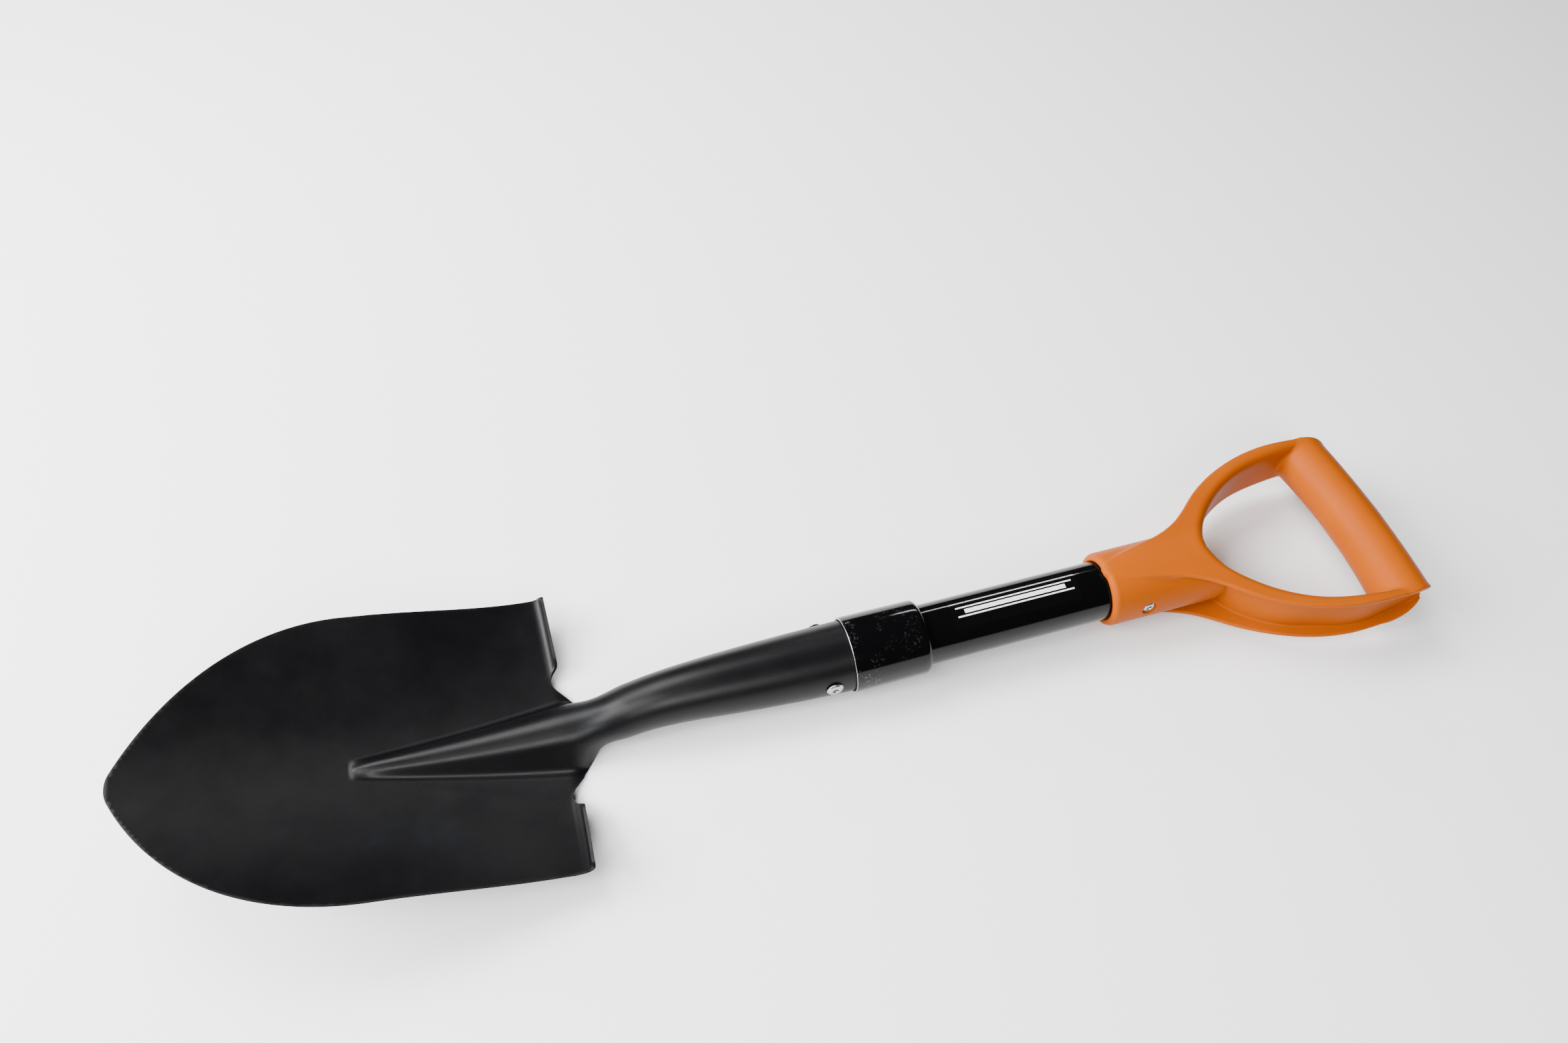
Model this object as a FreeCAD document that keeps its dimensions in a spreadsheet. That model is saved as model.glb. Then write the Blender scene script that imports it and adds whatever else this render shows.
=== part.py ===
import FreeCAD, Part
import math
import os
import Sketcher

"""Compact D-handle round-point digging shovel.

Every size below is in millimetres in the tool frame: X runs along the shaft from the
blade (-X) to the hand grip (+X) with x = 0 at the open rim of the collar, Y is lateral
and +Z is the working (front) side. The finished sub-parts are then laid down on a floor,
front up, with the origin under the middle of the bounding box.
"""

Vec = FreeCAD.Vector
X_AXIS = Vec(1, 0, 0)
Y_AXIS = Vec(0, 1, 0)
Z_AXIS = Vec(0, 0, 1)
ORIGIN = Vec(0, 0, 0)

doc = FreeCAD.newDocument("compact_shovel")

# ---------------------------------------------------------------- driving dimensions
DIMENSIONS = [
    ("shaft_radius", 15.875),        # 1 1/4 inch tube
    ("shaft_wall", 1.2),
    ("shaft_start", -17.0),          # blade-side end, wedged in the socket
    ("shaft_end", 193.0),            # handle-side end
    ("fit_gap", 0.05),
    ("sheet_thickness", 1.5),        # blade and socket steel
    ("socket_mouth", 10.0),          # hidden inside the collar
    ("socket_mouth_radius", 18.4),
    ("collar_length", 41.0),
    ("collar_radius_open", 19.65),
    ("collar_radius_closed", 19.4),
    ("collar_wall", 0.9),
    ("collar_shoulder", 2.6),        # rounding of the closed end
    ("blade_shoulder", -142.6),      # outer face of the foot treads
    ("blade_tip", -335.3),
    ("blade_half_width", 75.3),
    ("blade_waist", 72.4),           # half width where the point starts
    ("point_start", -237.0),
    ("point_radius", 109.5),
    ("tip_radius", 18.0),
    ("corner_radius", 5.0),
    ("tread_height", 4.6),
    ("tread_inner", 36.0),           # lateral place of a tread's inner end
    ("notch_depth", 4.8),
    ("notch_radius", 5.6),
    ("frog_nose", -244.0),
    ("mouth", 141.5),                # open end of the handle's socket
    ("handle_radius", 19.85),
    ("mouth_radius", 16.7),
    ("mouth_rounding", 2.4),
    ("handle_socket_end", 212.0),
    ("flange_thickness", 3.3),
    ("opening_rounding", 2.0),
    ("opening_throat", 202.0),
    ("cheek_inner", 49.4),           # lateral face of the opening beside the grip
    ("grip_centre", 299.2),
    ("grip_radius", 14.2),
    ("grip_bend", 370.0),            # radius of the bowed centre line
    ("grip_half_length", 51.0),
    ("rivet_level", 1.8),            # rivets sit slightly towards the front
    ("rivet_radius", 2.4),
    ("rivet_bore", 1.35),
    ("rivet_hole_gap", 0.05),
    ("rivet_inner_end", 12.4),
    ("rivet_bulge", 3.1),
    ("mandrel_radius", 1.3),
    ("mandrel_head", 2.1),
    ("socket_rivet_place", -11.4),
    ("socket_rivet_seat", 18.1),     # distance of the head's underside from the axis
    ("socket_head_radius", 4.4),
    ("socket_head_height", 1.5),
    ("handle_rivet_place", 162.3),
    ("handle_rivet_seat", 17.95),
    ("handle_head_radius", 3.6),
    ("handle_head_height", 1.2),
    ("counterbore_radius", 3.9),
    ("marking_start", 56.0),
    ("marking_length", 70.0),
    ("marking_angle", 64.0),
    ("marking_turn", 4.0),
    ("marking_lift", 0.01),
    ("marking_thickness", 0.06),
    ("rest_pitch", 2.0),             # degrees that the grip end rises when it lies down
]

sheet = doc.addObject("Spreadsheet::Sheet", "dimensions")
for row, (alias, value) in enumerate(DIMENSIONS, start=1):
    sheet.set("A%d" % row, alias)
    sheet.set("B%d" % row, str(value))
    sheet.setAlias("B%d" % row, alias)
doc.recompute()


def size(alias):
    """A driving dimension as a plain number."""
    return float(getattr(sheet, alias))


def bind(feature, prop, expression):
    """Tie one property to the sheet; words in <> are aliases."""
    feature.setExpression(prop, expression.replace("<", "dimensions.").replace(">", ""))


def mix(low, high, share):
    return low + (high - low) * share


def ramp(value, start, end):
    """Smooth step from 0 at start to 1 at end."""
    share = min(1.0, max(0.0, (value - start) / (end - start)))
    return share * share * (3.0 - 2.0 * share)


# ---------------------------------------------------------------- blade surface
HEEL = -150.0          # station where the pan's own line is measured from
HEEL_LEVEL = -12.4
HEEL_SLOPE = 0.167
LENGTH_CURVE = 0.000895
DISH_HEEL = 0.0028
DISH_POINT = 0.0043
DISH_CHANGE = 80.0


def pan_level(x, y):
    """Height of the plain dished pan."""
    ahead = HEEL - x
    line = HEEL_LEVEL + HEEL_SLOPE * ahead + LENGTH_CURVE * ahead * abs(ahead)
    dish = mix(DISH_HEEL, DISH_POINT, ramp(ahead, 0.0, DISH_CHANGE))
    return line + dish * y * y


FROG_HEIGHT_SLOPE = 0.185
FROG_NOSE_STEP = 2.4
FROG_NOSE_LENGTH = 5.0
FROG_FOOT_NOSE = 5.6
FROG_FOOT_SLOPE = 0.172
FROG_CREST_NOSE = 3.6
FROG_CREST_SLOPE = 0.094
FROG_FILLET_NOSE = 3.0
FROG_FILLET_SLOPE = 0.03
FROG_ARC_LIMIT = 0.95


def frog_section(x):
    """Height, half width at the foot, crest radius and foot fillet of the frog ridge."""
    run = max(0.0, x - size("frog_nose"))
    height = FROG_HEIGHT_SLOPE * run + FROG_NOSE_STEP * (1.0 - math.exp(-run / FROG_NOSE_LENGTH))
    foot = FROG_FOOT_NOSE + FROG_FOOT_SLOPE * run
    crest = FROG_CREST_NOSE + FROG_CREST_SLOPE * run
    fillet = FROG_FILLET_NOSE + FROG_FILLET_SLOPE * run
    # the two arcs need room for a straight flank between them
    while crest + fillet > FROG_ARC_LIMIT * math.hypot(foot, fillet - height + crest):
        fillet *= 0.9
    return height, foot, crest, fillet


def ridge_height(y, height, foot, crest, fillet):
    """Two arcs joined by their common tangent: round crest, straight flank, soft foot."""
    across = abs(y)
    if height <= 0.0 or across >= foot:
        return 0.0
    drop = height - crest
    gap = math.hypot(foot, fillet - drop)
    lean = math.acos((crest + fillet) / gap) + math.atan2(fillet - drop, foot)
    flank_top = crest * math.cos(lean)
    flank_foot = foot - fillet * math.cos(lean)
    if across <= flank_top:
        return drop + math.sqrt(crest * crest - across * across)
    if across >= flank_foot:
        return fillet - math.sqrt(max(0.0, fillet * fillet - (foot - across) ** 2))
    top = drop + crest * math.sin(lean)
    low = fillet - fillet * math.sin(lean)
    return mix(top, low, (across - flank_top) / (flank_foot - flank_top))


def front_level(x, y):
    """Front face of the stamped sheet: pan plus frog."""
    return pan_level(x, y) + ridge_height(y, *frog_section(x))


def surface_point(x, y, depth):
    """A point of the front face moved by depth along its own normal."""
    step = 0.05
    slope_x = (front_level(x + step, y) - front_level(x - step, y)) / (2 * step)
    slope_y = (front_level(x, y + step) - front_level(x, y - step)) / (2 * step)
    normal = Vec(-slope_x, -slope_y, 1.0).normalize()
    return Vec(x, y, front_level(x, y)) + normal * depth


def spaced(start, end, count):
    return [mix(start, end, i / (count - 1.0)) for i in range(count)]


def sheet_stations():
    """Lateral stations: close together over the frog, wider over the pan."""
    half = spaced(0.0, 26.0, 15) + spaced(26.0, 84.0, 12)[1:]
    return [-y for y in reversed(half[1:])] + half


def ruled(edge_a, edge_b):
    return Part.makeRuledSurface(edge_a, edge_b)


def boundary_edges(surface):
    """The four boundary curves of a surface patch, as edges, in a fixed order."""
    u0, u1, v0, v1 = surface.bounds()
    curves = [surface.uIso(u0), surface.uIso(u1), surface.vIso(v0), surface.vIso(v1)]
    return [curve.toShape() for curve in curves]


def sheet_slab(start, end):
    """The bent sheet, still without its outline."""
    rows = spaced(start, end, 56)
    columns = sheet_stations()
    faces = []
    rims = []
    for depth in (0.0, -size("sheet_thickness")):
        grid = [[surface_point(x, y, depth) for y in columns] for x in rows]
        surface = Part.BSplineSurface()
        surface.interpolate(grid)
        faces.append(surface.toShape())
        rims.append(boundary_edges(surface))
    for front, back in zip(*rims):
        faces.append(ruled(front, back))
    shell = Part.makeShell(faces)
    shell.sewShape()
    slab = Part.makeSolid(shell)
    if slab.Volume < 0:
        slab.reverse()
    return slab


def arc(a, b, c):
    return Part.Arc(a, b, c).toShape()


def line(a, b):
    return Part.LineSegment(a, b).toShape()


def spline(points, start_tangent=None, end_tangent=None):
    curve = Part.BSplineCurve()
    if start_tangent is None:
        curve.interpolate(points)
    else:
        curve.interpolate(Points=points, InitialTangent=start_tangent, FinalTangent=end_tangent)
    return curve.toShape()


def mirrored(point):
    return Vec(point.x, -point.y, point.z)


def point_outline():
    """Half outline of the digging end: side edge, big arc and rounded tip."""
    waist = Vec(size("point_start"), size("blade_waist"), 0)
    corner = Vec(size("blade_shoulder"), size("blade_half_width"), 0)
    side = (corner - waist).normalize()
    radius = size("point_radius")
    centre = waist + Vec(side.y, -side.x, 0) * radius
    tip_radius = size("tip_radius")
    # the tip circle touches the big arc from inside and is centred on the axis
    tip_centre = Vec(centre.x - math.sqrt((radius - tip_radius) ** 2 - centre.y ** 2), 0, 0)
    out = (tip_centre - centre).normalize()
    touch = centre + out * radius
    start_angle = math.atan2(waist.y - centre.y, waist.x - centre.x)
    end_angle = math.atan2(touch.y - centre.y, touch.x - centre.x)
    middle_angle = (start_angle + end_angle) / 2.0
    middle = centre + Vec(math.cos(middle_angle), math.sin(middle_angle), 0) * radius
    tip = tip_centre - X_AXIS * tip_radius
    return corner, waist, middle, touch, tip


def tread_outline():
    """Half outline at the shoulder, from the side edge in to the socket."""
    shoulder = size("blade_shoulder")
    corner = size("corner_radius")
    half = size("blade_half_width")
    inner = size("tread_inner")
    notch = size("notch_depth")
    diagonal = corner * (1.0 - math.sqrt(0.5))
    side_start = Vec(shoulder - corner, half, 0)
    bend = Vec(shoulder - diagonal, half - diagonal, 0)
    top_start = Vec(shoulder, half - corner, 0)
    top_end = Vec(shoulder, inner, 0)
    drop = Vec(shoulder - notch * 0.78, inner - 1.4, 0)
    bottom = Vec(shoulder - notch, inner - size("notch_radius"), 0)
    flare = [bottom,
             Vec(shoulder - 1.0, 24.8, 0),
             Vec(shoulder + 8.0, 18.6, 0),
             Vec(shoulder + 18.0, 14.2, 0)]
    return side_start, bend, top_start, top_end, drop, bottom, flare


def blade_outline():
    """Closed plan outline of the sheet, symmetric about the XZ plane."""
    corner, waist, middle, touch, tip = point_outline()
    side_start, bend, top_start, top_end, drop, bottom, flare = tread_outline()
    half = [line(side_start, waist),
            arc(waist, middle, touch),
            arc(side_start, bend, top_start),
            line(top_start, top_end),
            spline([top_end, drop, bottom], Vec(-0.3, -1, 0), Vec(0, -1, 0)),
            spline(flare)]
    other = [edge.mirror(ORIGIN, Y_AXIS) for edge in half]
    closing = [arc(touch, tip, mirrored(touch)), line(flare[-1], mirrored(flare[-1]))]
    return Part.Wire(Part.__sortEdges__(half + other + closing))


OUTLINE_BOTTOM = -60.0
OUTLINE_TOP = 80.0


def blade_sheet():
    """Pan, point and frog in one bent sheet."""
    slab = sheet_slab(size("blade_tip") - 8.0, size("blade_shoulder") + 20.0)
    face = Part.Face(blade_outline())
    face.translate(Z_AXIS * OUTLINE_BOTTOM)
    return slab.common(face.extrude(Z_AXIS * (OUTLINE_TOP - OUTLINE_BOTTOM)))


def tread(side):
    """One forward-turned foot tread along the shoulder, side = +1 or -1."""
    shoulder = size("blade_shoulder")
    wall = size("sheet_thickness")
    low = size("tread_inner") + 0.4
    high = size("blade_half_width") - 3.4
    rows = [shoulder - wall, shoulder]
    columns = spaced(low, high, 9)
    if side < 0:
        columns = [-y for y in reversed(columns)]
    bottom = [[Vec(x, y, pan_level(x, y) - wall * 0.6) for y in columns] for x in rows]
    surface = Part.BSplineSurface()
    surface.interpolate(bottom)
    return surface.toShape().extrude(Z_AXIS * (size("tread_height") + wall * 0.6))


# ---------------------------------------------------------------- blade socket
def socket_stations():
    """(x, centre height, outer radius) of the rolled socket, from its mouth to the frog."""
    return [(size("socket_mouth"), 0.0, size("socket_mouth_radius")),
            (-14.0, 0.3, 17.95),
            (-46.0, 1.9, 16.8),
            (-78.0, 3.7, 14.85),
            (-100.0, 3.4, 13.5),
            (-112.0, 1.7, 13.1),
            (-124.0, -1.6, 13.0),
            (-136.0, -4.8, 13.0),
            (-146.0, -7.0, 12.6)]


def loft_circles(stations, shrink):
    wires = []
    for x, height, radius in stations:
        circle = Part.Circle(Vec(x, 0, height), X_AXIS, radius - shrink)
        wires.append(Part.Wire(circle.toShape()))
    return Part.makeLoft(wires, True, False)


def blade_socket():
    """Rolled conical socket, bent over the blade's heel and open behind it."""
    stations = socket_stations()
    wall = size("sheet_thickness")
    inner = [(stations[0][0] + 1.0,) + stations[0][1:]] + stations[1:-1]
    inner.append((stations[-1][0] - 1.0,) + stations[-1][1:])
    tube = loft_circles(stations, 0.0).cut(loft_circles(inner, wall))
    # the underside is open where the socket runs out into the frog
    opening = Part.makePolygon([Vec(-108, -40, -16.5), Vec(-132, -40, -9.0), Vec(-160, -40, 4.0),
                                Vec(-160, -40, -40), Vec(-108, -40, -40), Vec(-108, -40, -16.5)])
    return tube.cut(Part.Face(opening).extrude(Y_AXIS * 80.0))


def cross_hole(place, radius):
    """A round hole right through, side to side."""
    return Part.makeCylinder(radius, 80.0, Vec(place, -40.0, 0), Y_AXIS)


def make_blade():
    sheet_part = blade_sheet()
    socket = blade_socket()
    frog_space = sheet_slab_under()
    socket = socket.cut(frog_space)
    blade_shape = sheet_part.fuse([socket, tread(1), tread(-1)])
    hole = cross_hole(size("socket_rivet_place"), size("rivet_radius") + size("rivet_hole_gap"))
    return blade_shape.cut(hole).removeSplitter()


def sheet_slab_under():
    """The space under the frog, which the socket's underside leaves free."""
    rows = spaced(-170.0, -128.0, 8)
    grid = [[surface_point(x, y, -0.7) for y in spaced(-20.0, 20.0, 25)] for x in rows]
    surface = Part.BSplineSurface()
    surface.interpolate(grid)
    return surface.toShape().extrude(Z_AXIS * -40.0)


# ---------------------------------------------------------------- handle
# (x, half width) of the flanges' outer edge, from the mouth to the grip's cheek
FLANGE_EDGE = [(143.0, 2.6), (156.0, 8.0), (178.0, 13.4), (194.0, 20.6), (210.0, 33.1),
               (226.0, 43.3), (246.0, 51.2), (268.0, 55.1), (286.0, 55.2), (300.0, 53.7)]
# (x, half width) of the wall between the flanges
WEB_EDGE = [(204.0, 8.0), (209.5, 19.8), (216.5, 29.7), (228.0, 39.2), (248.0, 46.8),
            (262.0, 50.2), (276.0, 51.2), (292.0, 49.4), (330.0, 47.4)]
# (x, half width) of the hand opening, after its throat
OPENING_EDGE = [(206.6, 11.7), (219.5, 26.2), (232.5, 35.9), (250.0, 43.9), (268.0, 47.7)]
# (x, half height) of the flanges' outer faces
SIDE_EDGE = [(143.0, 18.5), (180.0, 18.5), (202.0, 17.3), (218.0, 16.2), (250.0, 15.9),
             (276.0, 15.8), (292.0, 14.8), (303.0, 12.7), (310.0, 8.6)]
SIDE_END = 313.4


def closed_face(edges, axis):
    """A face from half an outline in the plane normal to axis, mirrored about the X axis."""
    flip = Y_AXIS if axis == Z_AXIS else Z_AXIS
    other = [edge.mirror(ORIGIN, flip) for edge in edges]
    return Part.Face(Part.Wire(Part.__sortEdges__(edges + other)))


def plan(points):
    return [Vec(x, y, 0) for x, y in points]


def side(points):
    return [Vec(x, 0, z) for x, z in points]


def both_ways(face, axis, half_length):
    """Extrude a face symmetrically about its plane."""
    solid = face.extrude(axis * (2.0 * half_length))
    solid.translate(axis * -half_length)
    return solid


def flange_plan():
    """Plan of the whole handle, seen from the front."""
    edge = plan(FLANGE_EDGE)
    corner = Vec(SIDE_END - 3.2, 49.6, 0)
    end = Vec(SIDE_END, 44.0, 0)
    middle = Vec(SIDE_END + 1.2, 0, 0)
    return closed_face([line(Vec(edge[0].x, 0, 0), edge[0]),
                        spline(edge),
                        arc(edge[-1], corner, end),
                        line(end, Vec(middle.x, 44.0, 0)),
                        line(Vec(middle.x, 44.0, 0), middle)], Z_AXIS)


def side_profile(inset):
    """Side view of the flanges; with an inset it is the channel between them."""
    edge = [Vec(p.x, 0, p.z - inset) for p in side(SIDE_EDGE)]
    edge[-1].x -= inset * 0.75
    edge[-2].x -= inset * 0.3
    tip = Vec(SIDE_END - inset, 0, 0)
    curve = Part.BSplineCurve()
    curve.interpolate(Points=edge + [tip], InitialTangent=X_AXIS, FinalTangent=Z_AXIS * -1.0)
    return closed_face([line(Vec(edge[0].x, 0, 0), edge[0]), curve.toShape()], Y_AXIS)


def opening_plan():
    """Plan of the hand opening, carried on past the grip."""
    throat = Vec(size("opening_throat"), 0, 0)
    cheek = size("cheek_inner")
    points = [throat] + plan(OPENING_EDGE) + [Vec(287.0, cheek, 0)]
    far = Vec(340.0, cheek, 0)
    return closed_face([spline(points, Y_AXIS, X_AXIS),
                        line(points[-1], far),
                        line(far, Vec(far.x, 0, 0))], Z_AXIS)


def web_plan():
    edge = plan(WEB_EDGE)
    first = Vec(edge[0].x, 0, 0)
    last = Vec(edge[-1].x, 0, 0)
    return closed_face([line(first, edge[0]), spline(edge), line(edge[-1], last)], Z_AXIS)


def grip_bar():
    """Bowed round bar: a short piece of a large ring."""
    bend = size("grip_bend")
    half_angle = math.degrees(math.asin(size("grip_half_length") / bend))
    middle = Vec(size("grip_centre") - bend, 0, 0)
    section = Part.Face(Part.Wire(Part.Circle(middle + X_AXIS * bend, Y_AXIS,
                                              size("grip_radius")).toShape()))
    section.rotate(middle, Z_AXIS, -half_angle)
    return section.revolve(middle, Z_AXIS, 2.0 * half_angle)


def turned(points):
    """Solid of revolution about the X axis from (x, radius) corners."""
    wire = Part.makePolygon([Vec(x, 0, r) for x, r in points + points[:1]])
    return Part.Face(wire).revolve(ORIGIN, X_AXIS, 360.0)


def handle_socket():
    """Round socket with a fully rounded lip that grips the shaft."""
    mouth = size("mouth")
    outer = size("handle_radius")
    end = size("handle_socket_end")
    tube = Part.makeCylinder(outer, end - mouth, Vec(mouth, 0, 0), X_AXIS)
    lip = [edge for edge in tube.Edges
           if abs(edge.BoundBox.XMin - mouth) < 0.01 and abs(edge.BoundBox.XMax - mouth) < 0.01]
    return tube.makeFillet(size("mouth_rounding"), lip)


def opening_rim(edge):
    """True for the curved edges where the hand opening meets the front and back faces."""
    first = edge.valueAt(edge.FirstParameter)
    last = edge.valueAt(edge.LastParameter)
    lengthways = abs(first.x - last.x) > 40.0 or abs(first.y - last.y) > 80.0
    flat = min(abs(first.z), abs(last.z)) > 10.0
    widest = max(abs(first.y), abs(last.y))
    return flat and lengthways and max(first.x, last.x) < 290.0 and widest < 49.8


def make_handle():
    plate = both_ways(flange_plan(), Z_AXIS, 30.0)
    plate = plate.common(both_ways(side_profile(0.0), Y_AXIS, 80.0))
    opening = both_ways(opening_plan(), Z_AXIS, 40.0)
    plate = plate.cut(opening)
    rims = [edge for edge in plate.Edges if opening_rim(edge)]
    plate = plate.makeFillet(size("opening_rounding"), rims)
    plate = grip_bar().fuse(plate)
    channel = both_ways(side_profile(size("flange_thickness")), Y_AXIS, 80.0)
    channel = channel.cut(both_ways(web_plan(), Z_AXIS, 40.0))
    plate = plate.cut(channel)
    body = plate.fuse(handle_socket().cut(opening))
    bore = size("shaft_radius") + size("fit_gap")
    mouth = size("mouth")
    shaft_space = turned([(mouth - 5.0, 0.0), (mouth - 5.0, size("mouth_radius")),
                          (mouth + 2.0, size("mouth_radius")), (mouth + 4.0, bore),
                          (size("shaft_end") + 0.05, bore), (size("shaft_end") + 0.05, 0.0)])
    body = body.cut(shaft_space)
    level = size("rivet_level")
    place = Vec(size("handle_rivet_place"), -60.0, level)
    shank = Part.makeCylinder(size("rivet_radius") + size("rivet_hole_gap"), 120.0, place, Y_AXIS)
    body = body.cut(shank)
    for way in (1, -1):
        seat = Vec(place.x, way * size("handle_rivet_seat"), level) - Y_AXIS * 0.02 * way
        body = body.cut(Part.makeCylinder(size("counterbore_radius"), 20.0, seat, Y_AXIS * way))
    body = body.removeSplitter()
    # the bar and both arms must all be part of the one moulding
    bar = Vec(size("grip_centre"), 0, 0)
    assert body.isInside(bar, 0.001, False), "the handle has lost its grip bar"
    for way in (1, -1):
        arm = Vec(262.0, way * 48.9, 0)
        assert body.isInside(arm, 0.001, False), "the handle has lost an arm"
    return body


# ---------------------------------------------------------------- bodies of revolution
def origin_plane(body, role):
    return [item for item in body.Origin.OriginFeatures if item.Role == role][0]


def new_sketch(body, name, role):
    sketch = body.newObject("Sketcher::SketchObject", name)
    sketch.AttachmentSupport = [(origin_plane(body, role), "")]
    sketch.MapMode = "FlatFace"
    return sketch


def driven_profile(sketch, corners):
    """Closed polygon whose corners (across, up) are expressions of the sheet."""
    count = len(corners)
    plain = [[evaluate(text) for text in corner] for corner in corners]
    for i in range(count):
        here, there = plain[i], plain[(i + 1) % count]
        edge = Part.LineSegment(Vec(here[0], here[1], 0), Vec(there[0], there[1], 0))
        sketch.addGeometry(edge, False)
    for i in range(count):
        sketch.addConstraint(Sketcher.Constraint("Coincident", i, 2, (i + 1) % count, 1))
    for i, corner in enumerate(corners):
        for kind, value, text in zip(("DistanceX", "DistanceY"), plain[i], corner):
            drive(sketch, Sketcher.Constraint(kind, -1, 1, i, 1, value), text, "%s_%d" % (kind, i))


def drive(sketch, constraint, text, name):
    index = sketch.addConstraint(constraint)
    sketch.renameConstraint(index, name)
    bind(sketch, "Constraints." + name, text)


def evaluate(text):
    """Value of an expression written with <aliases>."""
    return float(sheet.evalExpression(text.replace("<", "").replace(">", "")))


def spun_body(name, corners, role="XZ_Plane", axis="H_Axis"):
    """A PartDesign body turned from one driven profile."""
    body = doc.addObject("PartDesign::Body", name)
    sketch = new_sketch(body, name + "_profile", role)
    driven_profile(sketch, corners)
    turn = body.newObject("PartDesign::Revolution", name + "_turned")
    turn.Profile = sketch
    turn.ReferenceAxis = (sketch, [axis])
    turn.Angle = 360.0
    doc.recompute()
    return body


def side_holes(body, name, place, radius):
    """Pocket one round hole sideways through a body."""
    before = body.Shape.Volume
    sketch = new_sketch(body, name + "_circle", "XZ_Plane")
    centre = Vec(evaluate(place), size("rivet_level"), 0)
    sketch.addGeometry(Part.Circle(centre, Z_AXIS, evaluate(radius)), False)
    drive(sketch, Sketcher.Constraint("Radius", 0, evaluate(radius)), radius, "hole")
    drive(sketch, Sketcher.Constraint("DistanceX", -1, 1, 0, 3, centre.x), place, "along")
    drive(sketch, Sketcher.Constraint("DistanceY", -1, 1, 0, 3, centre.y), "<rivet_level>", "up")
    pocket = body.newObject("PartDesign::Pocket", name)
    pocket.Profile = sketch
    pocket.Type = "ThroughAll"
    pocket.SideType = "Symmetric"
    doc.recompute()
    assert body.Shape.Volume < before - 1.0, name + " cut nothing"


def rounded(body, name, choose, radius):
    """Round the edges of a body's tip that choose() accepts."""
    base = body.Tip
    edges = ["Edge%d" % (i + 1) for i, edge in enumerate(base.Shape.Edges) if choose(edge)]
    assert edges, name + " found no edge"
    fillet = body.newObject("PartDesign::Fillet", name)
    fillet.Base = (base, edges)
    bind(fillet, "Radius", radius)
    doc.recompute()


def ring_at(place, radius, direction):
    """Chooser for the full circle of one radius at one place along an axis."""
    def choose(edge):
        if not hasattr(edge.Curve, "Radius"):
            return False
        at = edge.Curve.Center.dot(direction)
        return abs(at - place) < 0.01 and abs(edge.Curve.Radius - radius) < 0.01
    return choose


def make_tube():
    bore = "<shaft_radius> - <shaft_wall>"
    body = spun_body("shaft_tube", [("<shaft_start>", bore),
                                    ("<shaft_end>", bore),
                                    ("<shaft_end>", "<shaft_radius>"),
                                    ("<shaft_start>", "<shaft_radius>")])
    hole = "<rivet_radius> + <rivet_hole_gap>"
    side_holes(body, "socket_rivet_hole", "<socket_rivet_place>", hole)
    side_holes(body, "handle_rivet_hole", "<handle_rivet_place>", hole)
    return body


def make_collar():
    """Cover sleeve: open towards the blade, closed down onto the shaft at its other end."""
    inner_open = "<collar_radius_open> - <collar_wall>"
    inner_closed = "<collar_radius_closed> - <collar_wall>"
    hole = "<shaft_radius> + <fit_gap>"
    floor = "<collar_length> - 1.8 * <collar_wall>"
    body = spun_body("collar", [("0.0", inner_open),
                                (floor, inner_closed),
                                (floor, hole),
                                ("<collar_length>", hole),
                                ("<collar_length>", "<collar_radius_closed>"),
                                ("0.0", "<collar_radius_open>")])
    shoulder = ring_at(size("collar_length"), size("collar_radius_closed"), X_AXIS)
    rounded(body, "collar_shoulder_round", shoulder, "<collar_shoulder>")
    return body


def make_rivet(name, seat, head_radius, head_height):
    """Blind rivet turned about Y: domed head, shank and the bulge inside the tube."""
    top = "%s + %s" % (seat, head_height)
    bulge_start = "<rivet_inner_end> + 1.0"
    body = spun_body(name, [("<rivet_bore>", "<rivet_inner_end>"),
                            ("<rivet_bore>", top),
                            (head_radius, top),
                            (head_radius, seat),
                            ("<rivet_radius>", seat),
                            ("<rivet_radius>", bulge_start + " + 0.5"),
                            ("<rivet_bulge>", bulge_start),
                            ("<rivet_bulge>", "<rivet_inner_end>")], "XY_Plane", "V_Axis")
    crown = ring_at(evaluate(top), evaluate(head_radius), Y_AXIS)
    rounded(body, name + "_dome", crown, head_height + " * 0.8")
    return body


def make_mandrel(name, seat, head_height):
    """Broken-off mandrel left inside a rivet."""
    under = "<rivet_inner_end> - 0.02"
    top = "%s + %s - 0.5" % (seat, head_height)
    return spun_body(name, [("0.0", under + " - 1.6"),
                            ("0.0", top),
                            ("<mandrel_radius>", top),
                            ("<mandrel_radius>", under),
                            ("<mandrel_head>", under),
                            ("<mandrel_head>", under + " - 1.6")], "XY_Plane", "V_Axis")


def marking_sector(name, radius, length):
    """Pie-shaped sector of a cylinder along the shaft, centred on the front."""
    sector = doc.addObject("Part::Cylinder", name)
    bind(sector, "Radius", radius)
    bind(sector, "Height", length)
    bind(sector, "Angle", "<marking_angle>")
    # the cylinder's own axis turns onto X and the sector's middle onto +Z
    onto_shaft = FreeCAD.Rotation(Vec(0, 1, 0), 90.0)
    middle = 180.0 - size("marking_angle") / 2.0 + size("marking_turn")
    spin = FreeCAD.Rotation(Z_AXIS, middle)
    sector.Placement = FreeCAD.Placement(Vec(size("marking_start"), 0, 0),
                                         onto_shaft.multiply(spin))
    return sector


def make_marking():
    """Printed film around the front of the shaft, without any lettering."""
    inner = "<shaft_radius> + <marking_lift>"
    outer_part = marking_sector("marking_outer", inner + " + <marking_thickness>",
                                "<marking_length>")
    inner_part = marking_sector("marking_inner", inner, "<marking_length>")
    film = doc.addObject("Part::Cut", "shaft_marking")
    film.Base = outer_part
    film.Tool = inner_part
    doc.recompute()
    return film


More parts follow.
